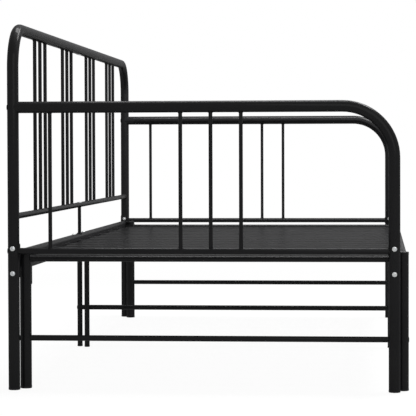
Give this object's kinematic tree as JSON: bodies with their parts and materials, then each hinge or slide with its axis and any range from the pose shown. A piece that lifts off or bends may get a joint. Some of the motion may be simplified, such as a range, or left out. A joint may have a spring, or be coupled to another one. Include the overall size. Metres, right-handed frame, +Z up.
{
  "type": "trundle bed",
  "caption": "Black steel-tube daybed with spindled back and bent-tube arms, and a pull-out bed of equal height whose slats nest between the main bed's slats.",
  "frame": {"origin": "on the floor, under the middle of the closed bed's bounding box", "axes": "+X along the bed to the right as seen from the front, +Y to the back, +Z up"},
  "size_m": [2.0772, 0.9708, 0.892],
  "materials": {
    "frame_powder_coat": "satin black powder coat on steel tube",
    "slat_powder_coat": "satin black powder coat on pressed steel sheet",
    "zinc_plated_steel": "bright zinc plating",
    "black_plastic": "moulded polyethylene, fine matt grain"
  },
  "bodies": {
    "main_frame": {"arm_and_brace_bolts": "frame_powder_coat", "arm_frame_left": "frame_powder_coat", "arm_frame_right": "frame_powder_coat", "arm_lower_rail_left": "frame_powder_coat", "arm_lower_rail_right": "frame_powder_coat", "arm_spindles": "frame_powder_coat", "back_centre_support": "frame_powder_coat", "back_frame_left": "frame_powder_coat", "back_frame_right": "frame_powder_coat", "back_lower_rail_left": "frame_powder_coat", "back_lower_rail_right": "frame_powder_coat", "back_side_rail_left": "frame_powder_coat", "back_side_rail_right": "frame_powder_coat", "back_spindles": "frame_powder_coat", "centre_brace": "frame_powder_coat", "centre_leg_back": "frame_powder_coat", "centre_leg_front": "frame_powder_coat", "front_side_rail_left": "frame_powder_coat", "front_side_rail_right": "frame_powder_coat", "joining_sleeves": "zinc_plated_steel", "joint_screws": "zinc_plated_steel", "main_feet": "black_plastic", "main_slat_1": "slat_powder_coat", "main_slat_2": "slat_powder_coat", "main_slat_3": "slat_powder_coat", "main_slat_4": "slat_powder_coat", "main_slat_5": "slat_powder_coat", "main_slat_6": "slat_powder_coat", "main_slat_7": "slat_powder_coat", "main_slat_8": "slat_powder_coat", "main_slat_9": "slat_powder_coat", "rail_bolts": "zinc_plated_steel", "rail_nuts": "zinc_plated_steel"},
    "trundle": {"trundle_back_rail_left": "frame_powder_coat", "trundle_back_rail_right": "frame_powder_coat", "trundle_brace_bolts": "frame_powder_coat", "trundle_centre_legs": "frame_powder_coat", "trundle_end_brace_left": "frame_powder_coat", "trundle_end_brace_right": "frame_powder_coat", "trundle_end_rail_left": "frame_powder_coat", "trundle_end_rail_right": "frame_powder_coat", "trundle_feet": "black_plastic", "trundle_front_rail_left": "frame_powder_coat", "trundle_front_rail_right": "frame_powder_coat", "trundle_leg_back_left": "frame_powder_coat", "trundle_leg_back_right": "frame_powder_coat", "trundle_leg_caps": "black_plastic", "trundle_leg_front_left": "frame_powder_coat", "trundle_leg_front_right": "frame_powder_coat", "trundle_rail_screws": "zinc_plated_steel", "trundle_rail_splices": "zinc_plated_steel", "trundle_slat_1": "slat_powder_coat", "trundle_slat_2": "slat_powder_coat", "trundle_slat_3": "slat_powder_coat", "trundle_slat_4": "slat_powder_coat", "trundle_slat_5": "slat_powder_coat", "trundle_slat_6": "slat_powder_coat", "trundle_slat_7": "slat_powder_coat", "trundle_slat_8": "slat_powder_coat", "trundle_slat_9": "slat_powder_coat"}
  },
  "joints": [
    {"name": "trundle_slide", "type": "slide", "parent": "main_frame", "child": "trundle", "axis": [0, -1, 0], "range_m": [0, 0.87]}
  ]
}
